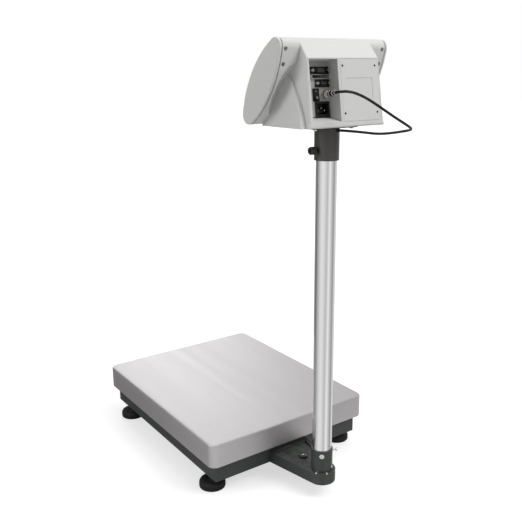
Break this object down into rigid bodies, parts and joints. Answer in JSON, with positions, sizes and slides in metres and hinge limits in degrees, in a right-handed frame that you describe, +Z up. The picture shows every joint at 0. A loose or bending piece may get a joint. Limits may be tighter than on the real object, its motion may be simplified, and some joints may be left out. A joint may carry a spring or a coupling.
{
  "type": "platform shipping scale",
  "caption": "Low weighing platform with a lift-off steel platter on levelling feet, and a display head on a rear column with its cable.",
  "frame": {"origin": "on the floor under the middle of the scale's overall box, cable left out", "axes": "+Z up; -Y towards the operator and the platter, +Y towards the column; +X to the right of an operator who faces the display"},
  "size_m": [0.39, 0.7103, 0.866],
  "materials": {
    "frame_paint": "satin dark grey-green paint",
    "sleeve_paint": "satin charcoal paint",
    "platter_steel": "fine matt brushed stainless steel",
    "column_metal": "bright satin anodised tube",
    "cell_alloy": "machined",
    "plated_steel": "zinc or nickel plated fasteners",
    "spider_paint": "dark paint",
    "blackened_steel": "blackened screw heads",
    "plate_satin": "satin sheet",
    "black_rubber": "matt",
    "knob_black": "matt black with a steel stud",
    "housing_plastic": "light warm grey, fine texture",
    "panel_film": "printed film over a moulded panel",
    "key_plastic": "moulded key",
    "window_clear": "clear window",
    "display_glass": "dark display",
    "board_green": "circuit board",
    "battery_case": "battery case",
    "connector_metal": "nickel plated",
    "black_plastic": "black moulding",
    "level_brass": "black level cup",
    "level_clear": "clear lid"
  },
  "bodies": {
    "base": {"side_rail_left": "frame_paint", "side_rail_right": "frame_paint", "front_rail": "frame_paint", "rear_rail": "frame_paint", "cell_beam": "frame_paint", "load_cell": "cell_alloy", "cell_bolts_lower": "plated_steel", "overload_stops": "plated_steel", "lock_nuts": "plated_steel", "pole_bracket": "frame_paint", "bracket_bolts": "plated_steel", "bracket_screws": "plated_steel", "socket_screws": "plated_steel", "bubble_level_body": "level_brass", "bubble_level_lens": "level_clear", "pole": "column_metal"},
    "load_receptor": {"cell_spacer": "cell_alloy", "cell_bolts_upper": "plated_steel", "spider_cross": "spider_paint", "spider_bar_left": "spider_paint", "spider_bar_right": "spider_paint", "platter_pads": "black_rubber"},
    "platter": {"platter": "platter_steel"},
    "head": {"neck_sleeve": "sleeve_paint", "cable_grommet": "black_rubber", "mounting_plate": "sleeve_paint", "mounting_screws": "plated_steel", "front_housing": "housing_plastic", "rear_housing": "housing_plastic", "front_panel": "panel_film", "display_window": "window_clear", "display_module": "display_glass", "main_board": "board_green", "battery": "battery_case", "connector_plate": "plate_satin", "connector_15_way": "connector_metal", "connector_9_way": "connector_metal", "mains_inlet": "black_plastic", "switch_bezel": "black_plastic", "load_cell_socket": "connector_metal", "cable_plug": "connector_metal", "access_cover": "housing_plastic", "access_cover_screws": "blackened_steel", "housing_screws": "blackened_steel", "signal_cable": "black_rubber"},
    "clamp_knob": {"clamp_knob": "knob_black"},
    "power_rocker": {"power_rocker": "black_plastic"},
    "foot_pad_left_rear": {"foot_pad_left_rear": "black_rubber"},
    "foot_stud_left_rear": {"foot_stud_left_rear": "plated_steel"},
    "foot_pad_right_rear": {"foot_pad_right_rear": "black_rubber"},
    "foot_stud_right_rear": {"foot_stud_right_rear": "plated_steel"},
    "foot_pad_left_front": {"foot_pad_left_front": "black_rubber"},
    "foot_stud_left_front": {"foot_stud_left_front": "plated_steel"},
    "foot_pad_right_front": {"foot_pad_right_front": "black_rubber"},
    "foot_stud_right_front": {"foot_stud_right_front": "plated_steel"},
    "key_1": {"key_1": "key_plastic"},
    "key_2": {"key_2": "key_plastic"},
    "key_3": {"key_3": "key_plastic"},
    "key_4": {"key_4": "key_plastic"},
    "key_5": {"key_5": "key_plastic"}
  },
  "joints": [
    {"name": "load_deflection", "type": "slide", "parent": "base", "child": "load_receptor", "axis": [0, 0, -1], "range_m": [0, 0.0005], "stiffness_N_per_m": 400000, "springref_m": -0.0002, "deforming": ["load_cell"]},
    {"name": "platter_lift_off", "type": "slide", "parent": "load_receptor", "child": "platter", "axis": [0, 0, 1], "range_m": [0, 0.12]},
    {"name": "head_swivel", "type": "hinge", "parent": "base", "child": "head", "pos_m": [0, 0.26, 0.69], "axis": [0, 0, 1], "range_deg": [-170, 170]},
    {"name": "clamp_knob_turn", "type": "hinge", "parent": "head", "child": "clamp_knob", "pos_m": [0.03, 0.26, 0.68], "axis": [1, 0, 0], "range_deg": [-540, 0]},
    {"name": "power_rocker_tip", "type": "hinge", "parent": "head", "child": "power_rocker", "pos_m": [0.045, 0.28212, 0.77443], "axis": [1, 0, 0], "range_deg": [-20, 0]},
    {"name": "foot_height_left_rear", "type": "slide", "parent": "base", "child": "foot_pad_left_rear", "axis": [0, 0, 1], "range_m": [-0.012, 0.003]},
    {"name": "foot_stud_turn_left_rear", "type": "hinge", "parent": "foot_pad_left_rear", "child": "foot_stud_left_rear", "pos_m": [0.165, 0.113, 0.03], "axis": [0, 0, 1], "range_deg": [-2880.5, 720.5]},
    {"name": "foot_height_right_rear", "type": "slide", "parent": "base", "child": "foot_pad_right_rear", "axis": [0, 0, 1], "range_m": [-0.012, 0.003]},
    {"name": "foot_stud_turn_right_rear", "type": "hinge", "parent": "foot_pad_right_rear", "child": "foot_stud_right_rear", "pos_m": [-0.165, 0.113, 0.03], "axis": [0, 0, 1], "range_deg": [-2880.5, 720.5]},
    {"name": "foot_height_left_front", "type": "slide", "parent": "base", "child": "foot_pad_left_front", "axis": [0, 0, 1], "range_m": [-0.012, 0.003]},
    {"name": "foot_stud_turn_left_front", "type": "hinge", "parent": "foot_pad_left_front", "child": "foot_stud_left_front", "pos_m": [0.165, -0.263, 0.03], "axis": [0, 0, 1], "range_deg": [-2880.5, 720.5]},
    {"name": "foot_height_right_front", "type": "slide", "parent": "base", "child": "foot_pad_right_front", "axis": [0, 0, 1], "range_m": [-0.012, 0.003]},
    {"name": "foot_stud_turn_right_front", "type": "hinge", "parent": "foot_pad_right_front", "child": "foot_stud_right_front", "pos_m": [-0.165, -0.263, 0.03], "axis": [0, 0, 1], "range_deg": [-2880.5, 720.5]},
    {"name": "key_1_press", "type": "slide", "parent": "head", "child": "key_1", "axis": [0, 0.8157, -0.5784], "range_m": [0, 0.0012], "stiffness_N_per_m": 500, "springref_m": -0.0002},
    {"name": "key_2_press", "type": "slide", "parent": "head", "child": "key_2", "axis": [0, 0.8157, -0.5784], "range_m": [0, 0.0012], "stiffness_N_per_m": 500, "springref_m": -0.0002},
    {"name": "key_3_press", "type": "slide", "parent": "head", "child": "key_3", "axis": [0, 0.8157, -0.5784], "range_m": [0, 0.0012], "stiffness_N_per_m": 500, "springref_m": -0.0002},
    {"name": "key_4_press", "type": "slide", "parent": "head", "child": "key_4", "axis": [0, 0.8157, -0.5784], "range_m": [0, 0.0012], "stiffness_N_per_m": 500, "springref_m": -0.0002},
    {"name": "key_5_press", "type": "slide", "parent": "head", "child": "key_5", "axis": [0, 0.8157, -0.5784], "range_m": [0, 0.0012], "stiffness_N_per_m": 500, "springref_m": -0.0002}
  ],
  "couplings": [
    {"joint": "foot_stud_turn_left_rear", "follows": "foot_height_left_rear", "rad_per_m": 4188.8},
    {"joint": "foot_stud_turn_right_rear", "follows": "foot_height_right_rear", "rad_per_m": 4188.8},
    {"joint": "foot_stud_turn_left_front", "follows": "foot_height_left_front", "rad_per_m": 4188.8},
    {"joint": "foot_stud_turn_right_front", "follows": "foot_height_right_front", "rad_per_m": 4188.8}
  ]
}
